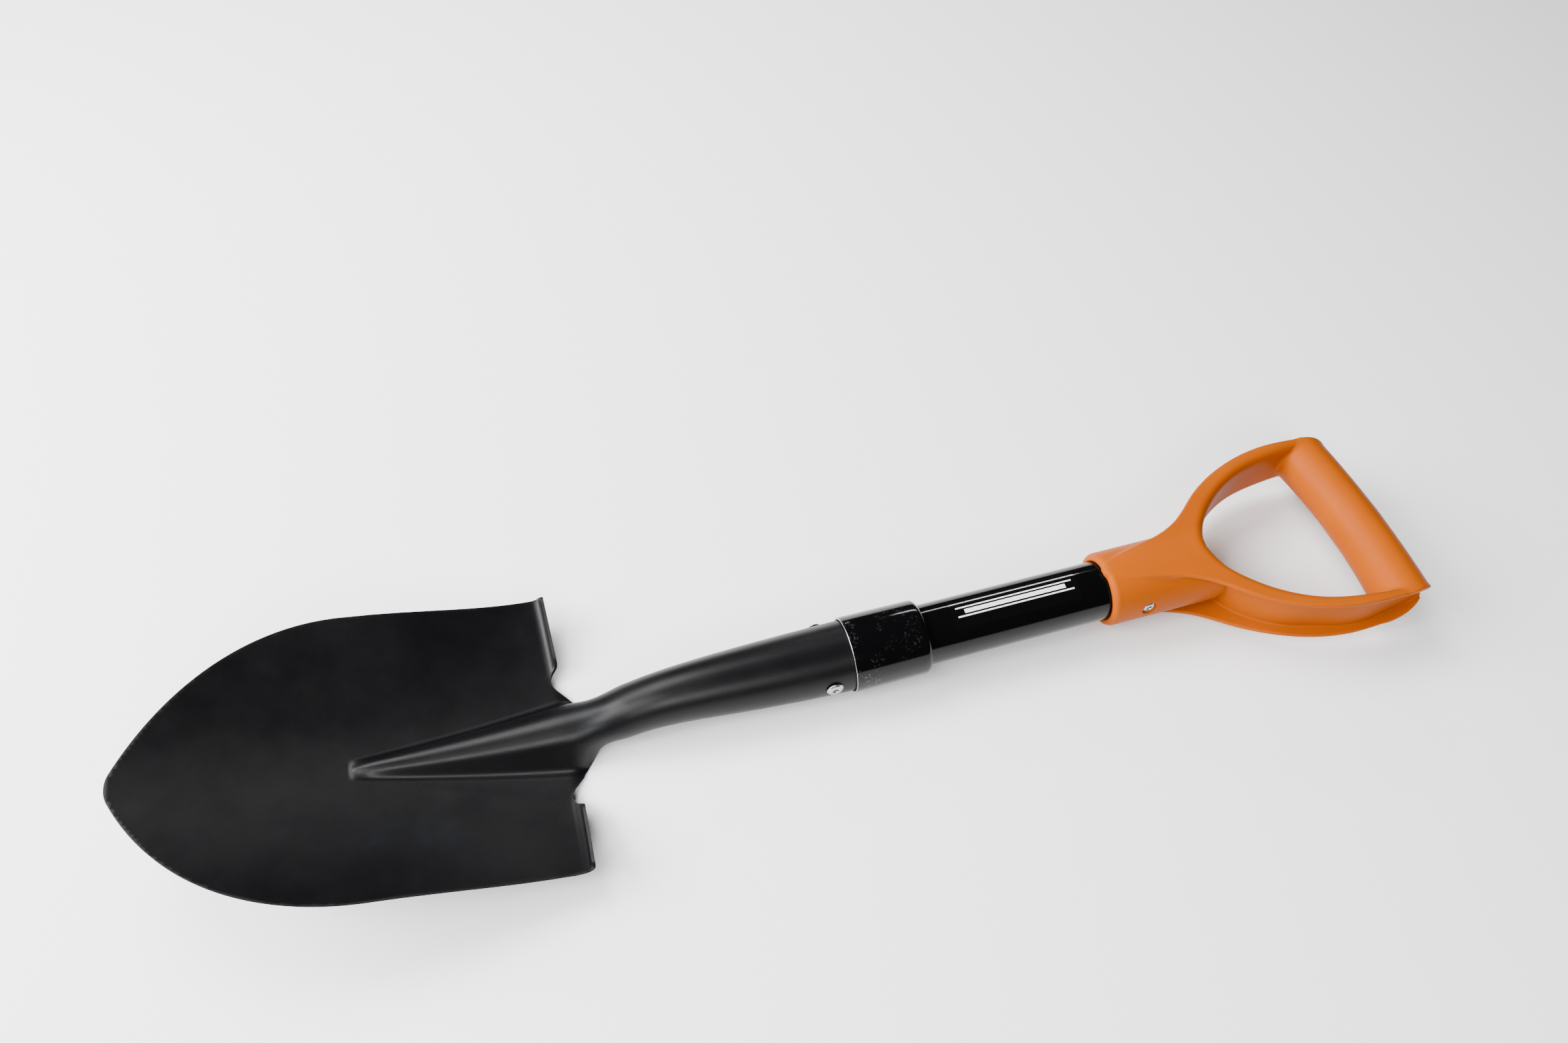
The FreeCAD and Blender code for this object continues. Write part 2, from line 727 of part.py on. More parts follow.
def shaped(name, shape):
    """Feature for a free-form piece computed from the sheet."""
    item = doc.addObject("Part::Feature", name)
    item.Shape = shape.Solids[0] if len(shape.Solids) == 1 else shape
    return item


# ---------------------------------------------------------------- assembly
UPRIGHT = FreeCAD.Placement()
HALF_TURN = FreeCAD.Rotation(X_AXIS, 180.0)


def beside(alias, way):
    """Own placement of a rivet: way = +1 on the +Y side, -1 on the -Y side."""
    spot = Vec(size(alias), 0, size("rivet_level"))
    return FreeCAD.Placement(spot, FreeCAD.Rotation() if way > 0 else HALF_TURN)


pieces = [(shaped("blade", make_blade()), UPRIGHT),
          (make_collar(), UPRIGHT),
          (make_tube(), UPRIGHT),
          (shaped("d_handle", make_handle()), UPRIGHT),
          (make_marking(), UPRIGHT)]

for place in ("socket", "handle"):
    seat_alias = "<%s_rivet_seat>" % place
    height_alias = "<%s_head_height>" % place
    for side_name, way in (("left", 1), ("right", -1)):
        spot = beside(place + "_rivet_place", way)
        rivet = make_rivet("%s_rivet_%s" % (place, side_name), seat_alias,
                           "<%s_head_radius>" % place, height_alias)
        mandrel = make_mandrel("%s_mandrel_%s" % (place, side_name), seat_alias, height_alias)
        pieces += [(rivet, spot), (mandrel, spot)]


def extent(shape):
    """Tight limits of a shape, from a fine tessellation."""
    corners = shape.tessellate(0.05)[0]
    low = Vec(min(v.x for v in corners), min(v.y for v in corners), min(v.z for v in corners))
    high = Vec(max(v.x for v in corners), max(v.y for v in corners), max(v.z for v in corners))
    return low, high


# Laid on its back the tool touches the floor with the collar's open rim and with the
# feet of the frog, so the grip end rises by a small pitch.
tilt = FreeCAD.Placement(ORIGIN, FreeCAD.Rotation(Y_AXIS, -size("rest_pitch")))
lows, highs = [], []
for item, own in pieces:
    item.Placement = tilt.multiply(own)
    low, high = extent(item.Shape)
    lows.append(low)
    highs.append(high)
shift = Vec(-(min(v.x for v in lows) + max(v.x for v in highs)) / 2.0,
            -(min(v.y for v in lows) + max(v.y for v in highs)) / 2.0,
            -min(v.z for v in lows))
rest = FreeCAD.Placement(shift, FreeCAD.Rotation()).multiply(tilt)
for item, own in pieces:
    item.Placement = rest.multiply(own)
doc.recompute()

for item in doc.Objects:
    assert "Invalid" not in item.State and "Error" not in item.State, item.Label
for item, own in pieces:
    assert not item.Shape.isNull() and item.Shape.isValid(), item.Label
    assert len(item.Shape.Solids) == 1, item.Label

os.makedirs("parts", exist_ok=True)
for item, own in pieces:
    item.Shape.exportStep("parts/%s.step" % item.Label)
    print("%-24s %10.0f mm3" % (item.Label, item.Shape.Volume))
print("rest placement", rest.Base, "size", max(v.x for v in highs) - min(v.x for v in lows),
      max(v.y for v in highs) - min(v.y for v in lows),
      max(v.z for v in highs) - min(v.z for v in lows))
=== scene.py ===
import math

import bmesh
import bpy
import numpy as np
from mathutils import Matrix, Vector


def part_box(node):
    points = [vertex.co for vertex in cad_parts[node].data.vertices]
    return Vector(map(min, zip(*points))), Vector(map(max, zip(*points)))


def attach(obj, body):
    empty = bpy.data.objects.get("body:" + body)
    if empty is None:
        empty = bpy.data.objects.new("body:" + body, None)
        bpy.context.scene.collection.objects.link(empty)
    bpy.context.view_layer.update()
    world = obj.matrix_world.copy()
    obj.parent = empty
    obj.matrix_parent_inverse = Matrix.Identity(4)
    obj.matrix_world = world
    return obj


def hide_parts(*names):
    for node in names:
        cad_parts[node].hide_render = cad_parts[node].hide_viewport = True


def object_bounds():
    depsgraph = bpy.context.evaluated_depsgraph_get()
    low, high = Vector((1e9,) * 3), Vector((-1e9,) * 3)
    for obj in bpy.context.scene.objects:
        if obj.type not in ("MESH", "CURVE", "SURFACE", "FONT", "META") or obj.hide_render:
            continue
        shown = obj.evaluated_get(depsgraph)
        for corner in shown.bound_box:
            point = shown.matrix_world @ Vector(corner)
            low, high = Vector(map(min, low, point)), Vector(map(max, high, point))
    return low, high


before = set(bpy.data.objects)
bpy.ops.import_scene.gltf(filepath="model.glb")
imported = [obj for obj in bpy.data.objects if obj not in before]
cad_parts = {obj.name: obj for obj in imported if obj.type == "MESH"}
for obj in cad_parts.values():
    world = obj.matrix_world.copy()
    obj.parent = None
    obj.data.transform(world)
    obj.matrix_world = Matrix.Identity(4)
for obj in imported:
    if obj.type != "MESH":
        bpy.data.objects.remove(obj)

import openvdb
from mathutils import Matrix, Vector
from mathutils.geometry import delaunay_2d_cdt

CAD_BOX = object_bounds()
MM = 0.001
TINY = 1e-12

# ---------------------------------------------------------------- tool frame
# Pieces are shaped in millimetres in the tool's own frame: X along the shaft from the
# blade to the grip, x = 0 at the collar's open rim, +Z the working side. The tool lies
# on its back with the grip end raised by PITCH.
PITCH = math.radians(2.0)
SHAFT_RADIUS = 15.875
SHAFT_START = -17.0
SHAFT_END = 193.0
tube_low, tube_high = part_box("shaft_tube")
SHIFT_X = tube_low.x / MM - SHAFT_START * math.cos(PITCH) + SHAFT_RADIUS * math.sin(PITCH)
SHIFT_Z = tube_low.z / MM - SHAFT_START * math.sin(PITCH) + SHAFT_RADIUS * math.cos(PITCH)


def rest(points):
    """Tool frame in millimetres to the row frame in metres."""
    p = np.asarray(points, float)
    x = p[..., 0] * math.cos(PITCH) - p[..., 2] * math.sin(PITCH) + SHIFT_X
    z = p[..., 0] * math.sin(PITCH) + p[..., 2] * math.cos(PITCH) + SHIFT_Z
    return np.stack([x, p[..., 1], z], axis=-1) * MM


def turn(direction):
    """A direction of the tool frame in the row frame."""
    x, y, z = direction
    return Vector((x * math.cos(PITCH) - z * math.sin(PITCH), y,
                   x * math.sin(PITCH) + z * math.cos(PITCH)))


def linked(name, data):
    """A new object of the scene for a mesh, light or camera."""
    item = bpy.data.objects.new(name, data)
    bpy.context.scene.collection.objects.link(item)
    return item


def mesh_piece(name, points, faces, material, node):
    """A smooth mesh from tool-frame points that stands for one CAD node, kept inside the CAD box."""
    mesh = bpy.data.meshes.new(name)
    placed = np.clip(rest(points), list(CAD_BOX[0]), list(CAD_BOX[1]))
    mesh.from_pydata([tuple(p) for p in placed], [], [tuple(f) for f in faces])
    mesh.validate()
    mesh.update()
    mesh.shade_smooth()
    mesh.materials.append(material)
    piece = linked(name, mesh)
    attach(piece, "root")
    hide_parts(node)
    return piece


def face_outward(mesh, merge=False):
    """Turns the faces outward; merge first joins the points that fall together on an axis."""
    shell = bmesh.new()
    shell.from_mesh(mesh)
    if merge:
        bmesh.ops.remove_doubles(shell, verts=shell.verts, dist=1e-7)
    bmesh.ops.recalc_face_normals(shell, faces=shell.faces)
    shell.to_mesh(mesh)
    shell.free()
    mesh.shade_smooth()


def smoothstep(value, start, end):
    share = np.clip((value - start) / (end - start), 0.0, 1.0)
    return share * share * (3.0 - 2.0 * share)


def natural_spline(points, count):
    """Smooth curve through points, as count samples evenly spread over its chords."""
    p = np.asarray(points, float)
    t = np.concatenate([[0.0], np.cumsum(np.linalg.norm(np.diff(p, axis=0), axis=1))])
    n = len(p)
    gaps = np.diff(t)
    system = np.eye(n)
    right = np.zeros((n, p.shape[1]))
    for i in range(1, n - 1):
        system[i, i - 1] = gaps[i - 1]
        system[i, i] = 2.0 * (gaps[i - 1] + gaps[i])
        system[i, i + 1] = gaps[i]
        right[i] = 6.0 * ((p[i + 1] - p[i]) / gaps[i] - (p[i] - p[i - 1]) / gaps[i - 1])
    bend = np.linalg.solve(system, right)
    samples = np.linspace(0.0, t[-1], count)
    k = np.clip(np.searchsorted(t, samples, side="right") - 1, 0, n - 2)
    gap = gaps[k][:, None]
    a = (t[k + 1] - samples)[:, None]
    b = (samples - t[k])[:, None]
    return (bend[k] * a ** 3 + bend[k + 1] * b ** 3) / (6 * gap) \
        + (p[k] / gap - bend[k] * gap / 6) * a + (p[k + 1] / gap - bend[k + 1] * gap / 6) * b


def spline_value(points, x):
    """Second coordinate of a smooth curve at first coordinate x."""
    curve = natural_spline(points, 400)
    order = np.argsort(curve[:, 0])
    return np.interp(x, curve[order, 0], curve[order, 1])


# ---------------------------------------------------------------- materials
ENAMEL = (0.0012, 0.0012, 0.0014)
# pale colour of the specks on the collar, denser towards its open rim
PALE_SPECK = (0.13, 0.13, 0.14)
PALE_PRINT = (0.72, 0.72, 0.72)
WHITE = (1.0, 1.0, 1.0, 1.0)


def node_material(name):
    """A new material with its node tree and its shader."""
    material = bpy.data.materials.new(name)
    material.use_nodes = True
    tree = material.node_tree
    return material, tree, tree.nodes["Principled BSDF"]


def object_place(tree):
    """Object coordinates, in metres, for the patterns to be laid out in."""
    return tree.nodes.new("ShaderNodeTexCoord").outputs["Object"]


def math_node(tree, kind, a, b=None):
    """Result of one operation on sockets or plain numbers."""
    node = tree.nodes.new("ShaderNodeMath")
    node.operation = kind
    for socket, value in zip(node.inputs, (a, b)):
        if isinstance(value, float):
            socket.default_value = value
        elif value is not None:
            tree.links.new(value, socket)
    return node.outputs["Value"]


def noise(tree, vector, scale, detail=3.0, roughness=0.5, stretch=None):
    if stretch is not None:
        mapping = tree.nodes.new("ShaderNodeMapping")
        mapping.inputs["Scale"].default_value = stretch
        tree.links.new(vector, mapping.inputs["Vector"])
        vector = mapping.outputs["Vector"]
    texture = tree.nodes.new("ShaderNodeTexNoise")
    texture.inputs["Scale"].default_value = scale
    texture.inputs["Detail"].default_value = detail
    texture.inputs["Roughness"].default_value = roughness
    tree.links.new(vector, texture.inputs["Vector"])
    return texture.outputs["Fac"]


def ramp(tree, value, stops):
    """Colour by value, from (position, colour) stops."""
    node = tree.nodes.new("ShaderNodeValToRGB")
    while len(node.color_ramp.elements) < len(stops):
        node.color_ramp.elements.new(0.5)
    for element, (position, color) in zip(node.color_ramp.elements, stops):
        element.position = position
        element.color = color + (1.0,)
    tree.links.new(value, node.inputs["Fac"])
    return node.outputs["Color"]


def remap(tree, value, taken, given):
    """Value with the range taken stretched onto the range given, and held at its ends."""
    node = tree.nodes.new("ShaderNodeMapRange")
    for socket, bound in zip(("From Min", "From Max", "To Min", "To Max"), taken + given):
        node.inputs[socket].default_value = bound
    tree.links.new(value, node.inputs["Value"])
    return node.outputs["Result"]


def bump(tree, shader, height, strength, distance, previous=None):
    node = tree.nodes.new("ShaderNodeBump")
    node.inputs["Strength"].default_value = strength
    node.inputs["Distance"].default_value = distance
    tree.links.new(height, node.inputs["Height"])
    if previous is not None:
        tree.links.new(previous, node.inputs["Normal"])
    tree.links.new(node.outputs["Normal"], shader.inputs["Normal"])
    return node.outputs["Normal"]


def powder_coat():
    """Satin black coat of the blade, faintly mottled and dusty."""
    material, tree, shader = node_material("powder_coat")
    place = object_place(tree)
    mottle = noise(tree, place, scale=22.0, detail=4.0, roughness=0.6)
    tint = ramp(tree, mottle, [(0.3, (0.0014, 0.0013, 0.0017)), (0.62, (0.0018, 0.0018, 0.0023)),
                               (0.8, (0.0032, 0.0036, 0.0058))])
    tree.links.new(tint, shader.inputs["Base Color"])
    wear = noise(tree, place, scale=60.0, detail=5.0, roughness=0.6)
    rough = remap(tree, wear, (0.3, 0.7), (0.33, 0.40))
    tree.links.new(rough, shader.inputs["Roughness"])
    shader.inputs["Specular IOR Level"].default_value = 0.16
    peel = noise(tree, place, scale=900.0, detail=2.0)
    dust = noise(tree, place, scale=2600.0, detail=2.0)
    peeled = bump(tree, shader, peel, strength=0.10, distance=0.0003)
    bump(tree, shader, dust, strength=0.06, distance=0.0002, previous=peeled)
    return material


def gloss_black():
    """Gloss enamel of the tube and collar, with rubbed patches drawn out along the shaft."""
    material, tree, shader = node_material("gloss_black")
    place = object_place(tree)
    shader.inputs["Base Color"].default_value = ENAMEL + (1.0,)
    rubbed = noise(tree, place, scale=140.0, detail=6.0, roughness=0.7, stretch=(1.0, 3.0, 3.0))
    rough = remap(tree, rubbed, (0.35, 0.85), (0.055, 0.14))
    tree.links.new(rough, shader.inputs["Roughness"])
    shader.inputs["Specular IOR Level"].default_value = 0.21
    ripple = noise(tree, place, scale=130.0, detail=2.0)
    bump(tree, shader, ripple, strength=0.03, distance=0.0004)
    return material


def specked_black():
    """The gloss black of the collar, with pale specks in its colour that grow denser towards its
    open rim.
    """
    material = gloss_black()
    material.name = "gloss_black_specked"
    tree = material.node_tree
    shader = tree.nodes["Principled BSDF"]
    place = object_place(tree)
    fine = noise(tree, place, scale=620.0, detail=3.0, roughness=0.6)
    specks = remap(tree, fine, (0.55, 0.72), (0.0, 1.0))
    coarse = noise(tree, place, scale=85.0, detail=2.0)
    patches = remap(tree, coarse, (0.48, 0.66), (0.0, 1.0))
    spots = math_node(tree, "MULTIPLY", specks, patches)
    split = tree.nodes.new("ShaderNodeSeparateXYZ")
    tree.links.new(place, split.inputs["Vector"])
    rim_reach = ((SHIFT_X + 1.0) * MM, (SHIFT_X + 22.0) * MM)
    near_rim = remap(tree, split.outputs["X"], rim_reach, (1.0, 0.12))
    weight = math_node(tree, "MULTIPLY", spots, near_rim)
    tint = ramp(tree, weight, [(0.0, ENAMEL), (1.0, PALE_SPECK)])
    tree.links.new(tint, shader.inputs["Base Color"])
    return material


def orange_plastic():
    """Matt moulded plastic with a fine grain."""
    material, tree, shader = node_material("orange_plastic")
    place = object_place(tree)
    tone = noise(tree, place, scale=30.0)
    tint = ramp(tree, tone, [(0.3, (0.29, 0.056, 0.0)), (0.7, (0.32, 0.063, 0.0))])
    tree.links.new(tint, shader.inputs["Base Color"])
    shader.inputs["Roughness"].default_value = 0.42
    shader.inputs["Specular IOR Level"].default_value = 0.06
    bump(tree, shader, noise(tree, place, scale=1500.0), strength=0.10, distance=0.0003)
    return material


def bare_metal(name, color, roughness):
    """Bare metal with fine scratches about the given roughness."""
    material, tree, shader = node_material(name)
    shader.inputs["Metallic"].default_value = 1.0
    shader.inputs["Base Color"].default_value = color + (1.0,)
    scratch = noise(tree, object_place(tree), scale=700.0, detail=4.0)
    rough = remap(tree, scratch, (0.3, 0.7), (roughness * 0.8, roughness * 1.3))
    tree.links.new(rough, shader.inputs["Roughness"])
    bump(tree, shader, scratch, strength=0.12, distance=0.0002)
    return material


COAT = powder_coat()
GLOSS = gloss_black()
SPECKED_BLACK = specked_black()
ORANGE = orange_plastic()
RIVET = bare_metal("rivet_metal", (0.42, 0.43, 0.44), 0.26)
# the snapped mandrels are real, but their steel is made near black to paint the shade inside the
# rivet heads' hollow centres
MANDREL_AND_SHADE = bare_metal("mandrel_steel", (0.09, 0.09, 0.095), 0.42)

# ---------------------------------------------------------------- blade surface
SHEET = 1.5
HEEL, HEEL_LEVEL, HEEL_SLOPE, LENGTH_CURVE = -150.0, -12.4, 0.167, 0.000895
DISH_HEEL, DISH_POINT, DISH_CHANGE = 0.0028, 0.0043, 80.0
# frog ridge from its nose: level, half width at the foot, and crest and toe radii grow with run
NOSE = -244.0
RIDGE_SLOPE, NOSE_RISE, NOSE_LENGTH = 0.185, 2.4, 5.0
FOOT_HALF, FOOT_GROWTH = 5.6, 0.172
CREST_RADIUS, CREST_GROWTH = 3.6, 0.094
TOE_RADIUS, TOE_GROWTH, TOE_LEAST = 3.0, 0.03, 0.6


def pan_level(x, y):
    """Height of the dished pan without its ridge."""
    ahead = HEEL - x
    line = HEEL_LEVEL + HEEL_SLOPE * ahead + LENGTH_CURVE * ahead * np.abs(ahead)
    dish = DISH_HEEL + (DISH_POINT - DISH_HEEL) * smoothstep(ahead, 0.0, DISH_CHANGE)
    return line + dish * y * y


def ridge_height(x, y):
    """Frog ridge: round crest, straight flank and soft foot."""
    run = np.maximum(0.0, x - NOSE)
    height = RIDGE_SLOPE * run + NOSE_RISE * (1.0 - np.exp(-run / NOSE_LENGTH))
    foot = FOOT_HALF + FOOT_GROWTH * run
    crest = CREST_RADIUS + CREST_GROWTH * run
    fillet = TOE_RADIUS + TOE_GROWTH * run
    drop = height - crest
    room = 0.95 * np.hypot(foot, fillet - drop)
    fillet = np.where(crest + fillet > room, np.maximum(TOE_LEAST, room - crest), fillet)
    gap = np.hypot(foot, fillet - drop)
    lean = np.arccos(np.clip((crest + fillet) / gap, -1.0, 1.0)) + np.arctan2(fillet - drop, foot)
    across = np.abs(y)
    flank_top = crest * np.cos(lean)
    flank_foot = foot - fillet * np.cos(lean)
    top = drop + crest * np.sin(lean)
    low = fillet - fillet * np.sin(lean)
    crown = drop + np.sqrt(np.maximum(0.0, crest * crest - across * across))
    toe = fillet - np.sqrt(np.maximum(0.0, fillet * fillet - (foot - across) ** 2))
    share = np.clip((across - flank_top) / (flank_foot - flank_top), 0.0, 1.0)
    flank = top + (low - top) * share
    level = np.where(across <= flank_top, crown, np.where(across >= flank_foot, toe, flank))
    return np.where((across >= foot) | (run <= 0.0), 0.0, level)


def front_level(x, y):
    return pan_level(x, y) + ridge_height(x, y)


# centre height and radius of the rolled socket at stations along the shaft
SOCKET_AXIS = [(-150.0, -8.4), (-138.0, -6.2), (-126.0, -2.9), (-118.0, -0.4), (-110.0, 1.7),
               (-102.0, 3.1), (-90.0, 3.9), (-74.0, 3.6), (-54.0, 2.4), (-30.0, 1.1),
               (-10.0, 0.2), (10.0, 0.0)]
SOCKET_RADIUS = [(-150.0, 15.0), (-138.0, 14.2), (-126.0, 13.45), (-118.0, 13.1), (-110.0, 13.05),
                 (-102.0, 13.35), (-86.0, 14.3), (-62.0, 15.9), (-38.0, 17.15), (-14.0, 18.0),
                 (10.0, 18.4)]
FLARE_START, FLARE_END = -147.6, -112.0
BEND_START, BEND_RADIUS, LIP_STRAIGHT = -149.3, 5.2, 0.3
BLANK_END = BEND_START + BEND_RADIUS * math.pi / 2 + LIP_STRAIGHT
# across the blade, the treads' bend begins and is fully grown at these half widths
TREAD_FROM, TREAD_FULL = 31.0, 36.0
SOCKET_HALF, SOCKET_MOUTH = 26.0, 10.0
# half width of the blank at the socket, and of the flared part on the finished blade
BLANK_WIDTH = [(-160.0, 30.0), (-147.6, 30.0), (-144.0, 27.6), (-140.0, 26.4), (-134.0, 26.0),
               (12.0, 26.0)]
FLARE_WIDTH = [(-160.0, 30.0), (-147.6, 30.0), (-144.0, 26.2), (-139.0, 22.6), (-132.0, 18.6),
               (-120.0, 14.8), (12.0, 13.0)]


def blade_map(s, v):
    """Place of the point (s along, v across) of the flat blank on the finished blade's front."""
    x, y, z = s.copy(), v.copy(), front_level(s, v)
    socket = (s > FLARE_START) & (np.abs(v) < TREAD_FROM)
    ss, vv = s[socket], v[socket]
    share = np.clip(vv / np.interp(ss, *zip(*BLANK_WIDTH)), -1.0, 1.0)
    flat_y = share * np.interp(ss, *zip(*FLARE_WIDTH))
    flat_z = front_level(ss, flat_y)
    radius = spline_value(SOCKET_RADIUS, ss)
    centre = spline_value(SOCKET_AXIS, ss)
    close = smoothstep(ss, FLARE_START, FLARE_END)
    y[socket] = flat_y + (radius * np.sin(math.pi * share) - flat_y) * close
    z[socket] = flat_z + (centre + radius * np.cos(math.pi * share) - flat_z) * close
    lip = (s > BEND_START) & (np.abs(v) >= TREAD_FROM)
    angle = np.minimum((s[lip] - BEND_START) / BEND_RADIUS, math.pi / 2)
    rise = np.maximum(0.0, s[lip] - BEND_START - BEND_RADIUS * math.pi / 2)
    turned_x = BEND_START + BEND_RADIUS * np.sin(angle)
    turned_z = pan_level(turned_x, v[lip]) + BEND_RADIUS * (1.0 - np.cos(angle)) + rise
    grown = smoothstep(np.abs(v[lip]), TREAD_FROM, TREAD_FULL)
    x[lip] += (turned_x - x[lip]) * grown
    z[lip] += (turned_z - z[lip]) * grown
    return np.stack([x, y, z], axis=-1)


def arc_points(centre, radius, start, end, count):
    angles = np.linspace(start, end, count)
    return [(centre[0] + radius * math.cos(a), centre[1] + radius * math.sin(a)) for a in angles]


def blank_outline():
    """Half outline of the flat blank for v >= 0, from the tip round to the socket's mouth."""
    half, corner_radius = 75.3, 4.2
    radius, tip_radius = 109.5, 18.0
    waist = Vector((-237.0, 72.4))
    side = (Vector((-142.6, half)) - waist).normalized()
    centre = waist + Vector((side.y, -side.x)) * radius
    tip_x = centre.x - math.sqrt((radius - tip_radius) ** 2 - centre.y ** 2)
    out = (Vector((tip_x, 0.0)) - centre).normalized()
    touch = math.atan2(out.y, out.x) % (2 * math.pi)
    points = arc_points((tip_x, 0.0), tip_radius, math.pi, touch, 14)[:-1]
    waist_angle = math.atan2(waist.y - centre.y, waist.x - centre.x)
    points += arc_points(centre, radius, touch, waist_angle, 90)
    points += [tuple(waist.lerp(Vector((BLANK_END - corner_radius, half)), i / 60.0))
               for i in range(1, 60)]
    points += arc_points((BLANK_END - corner_radius, half - corner_radius), corner_radius,
                         math.pi / 2, 0.0, 10)
    points += [(BLANK_END, half - corner_radius - i * 1.4) for i in range(1, 20)]
    edge_start, edge_step = -134.0, 1.2
    lip_end = [(BLANK_END, 44.0), (BLANK_END - 0.6, 40.4), (-143.6, 38.1), (-146.1, 36.6),
               (-147.5, 34.3), (-147.8, 31.9), (-147.1, 29.6), (-145.2, 28.0), (-142.0, 26.9),
               (-138.0, 26.2), (edge_start, SOCKET_HALF)]
    points += [tuple(p) for p in natural_spline(lip_end, 46)]
    edge_count = round((SOCKET_MOUTH - edge_start) / edge_step)
    points += [(edge_start + i * edge_step, SOCKET_HALF) for i in range(1, edge_count + 1)]
    return points


def inside_polygon(points, polygon):
    x, y = points[:, 0], points[:, 1]
    inside = np.zeros(len(points), bool)
    for (ax, ay), (bx, by) in zip(polygon, np.roll(polygon, -1, axis=0)):
        cross = ((ay > y) != (by > y)) & (x < (bx - ax) * (y - ay) / (by - ay + TINY) + ax)
        inside ^= cross
    return inside


def edge_distance(points, polygon):
    best = np.full(len(points), np.inf)
    for a, b in zip(polygon, np.roll(polygon, -1, axis=0)):
        d = b - a
        t = np.clip(((points - a) @ d) / (d @ d + TINY), 0.0, 1.0)
        best = np.minimum(best, np.linalg.norm(points - a - t[:, None] * d, axis=1))
    return best


def above_floor(points):
    """Lifts points of the tool frame that would lie below the floor to just above it."""
    clearance = 0.05
    floor = (clearance - SHIFT_Z - points[:, 0] * math.sin(PITCH)) / math.cos(PITCH)
    points[:, 2] = np.maximum(points[:, 2], floor)
    return points


def blank_grid(polygon, spacing):
    """Points inside the blank's outline, closer together across the frog and the socket."""
    reach, frog_half = 78.0, 32.0
    # start and end of each band, its steps along and across, and if it is thinned at the sides
    bands = ((-338.0, -250.0, spacing, spacing, False),
             (-250.0, FLARE_END, spacing * 0.8, spacing * 0.55, True),
             (FLARE_END, SOCKET_MOUTH, spacing * 1.2, spacing * 0.45, False))
    parts = []
    for start, end, step_x, step_y, thinned in bands:
        xs = np.arange(start, end, step_x)
        ys = np.arange(-reach, reach, step_y)
        part = np.array([(x, y + (step_y / 2 if i % 2 else 0.0))
                         for i, x in enumerate(xs) for y in ys])
        if thinned:
            wide = np.abs(part[:, 1]) > frog_half
            part = part[~wide | (np.arange(len(part)) % 2 == 0)]
        parts.append(part)
    grid = np.concatenate(parts)
    grid = grid[inside_polygon(grid, polygon)]
    return grid[edge_distance(grid, polygon) > spacing * 0.35]


def sheet_back(s, v, front):
    """Back of the sheet under its front points: one thickness away along the surface normal."""
    step = 0.05
    along = blade_map(s + step, v) - blade_map(s - step, v)
    across = blade_map(s, v + step) - blade_map(s, v - step)
    normal = np.cross(along, across)
    normal /= np.linalg.norm(normal, axis=1)[:, None] + TINY
    # the pan's rim is cut square to the plan, as in the CAD; treads and socket bend with the sheet
    square = smoothstep(-s, 150.0, 156.0)[:, None]
    steepest = 0.5
    down = np.stack([0.0 * s, 0.0 * s, 1.0 / np.maximum(normal[:, 2], steepest)], axis=-1)
    return front - (normal + (down - normal) * square) * SHEET


def sheet_faces(faces, count):
    """Front faces, the same ones reversed on the back, and the quads that close the rim."""
    sides = dict.fromkeys((a, b) for f in faces for a, b in zip(f, f[1:] + f[:1]))
    rim = [(b, a, a + count, b + count) for a, b in sides if (b, a) not in sides]
    return faces + [tuple(i + count for i in f[::-1]) for f in faces] + rim


def make_blade():
    """The blank, cut into triangles when flat and then carried to its pressed shape."""
    half = blank_outline()
    polygon = np.array(half[1:] + [(x, -y) for x, y in reversed(half[1:])] + [half[0]])
    grid = blank_grid(polygon, 1.5)
    count = len(polygon)
    loop = [(i, (i + 1) % count) for i in range(count)]
    flat = [Vector(p) for p in np.concatenate([polygon, grid])]
    inside_only, merge_distance = 1, 1e-4
    verts, _, faces = delaunay_2d_cdt(flat, loop, [], inside_only, merge_distance)[:3]
    s, v = np.array([tuple(p) for p in verts]).T
    front = blade_map(s, v)
    points = np.concatenate([above_floor(front), above_floor(sheet_back(s, v, front))])
    faces = sheet_faces([tuple(f) for f in faces], len(front))
    piece = mesh_piece("blade_sheet", points, faces, COAT, "blade")
    bevel = piece.modifiers.new("soft_rim", "BEVEL")
    bevel.limit_method = "ANGLE"
    bevel.angle_limit = math.radians(50.0)
    bevel.width = 0.35 * MM
    bevel.segments = 2
    bevel.harden_normals = True


# ---------------------------------------------------------------- turned pieces
def round_corner(a, corner, b, radius, count=7):
    """Points of a fillet at the corner between two straight profile lines."""
    a, corner, b = Vector(a), Vector(corner), Vector(b)
    to_a, to_b = (a - corner).normalized(), (b - corner).normalized()
    angle = to_a.angle(to_b)
    reach = radius / math.tan(angle / 2.0)
    centre = corner + (to_a + to_b).normalized() * (radius / math.sin(angle / 2.0))
    start, end = corner + to_a * reach - centre, corner + to_b * reach - centre
    first = math.atan2(start.y, start.x)
    sweep = (math.atan2(end.y, end.x) - first + math.pi) % (2 * math.pi) - math.pi
    return [(centre.x + radius * math.cos(first + sweep * i / (count - 1)),
             centre.y + radius * math.sin(first + sweep * i / (count - 1)))
            for i in range(count)]


def rounded_profile(corners):
    """Closed profile from (along, radius, rounding) corners."""
    points = []
    count = len(corners)
    for i, (x, r, rounding) in enumerate(corners):
        before = corners[i - 1][:2]
        after = corners[(i + 1) % count][:2]
        if rounding > 0.0:
            points += round_corner(before, (x, r), after, rounding)
        else:
            points.append((x, r))
    return points


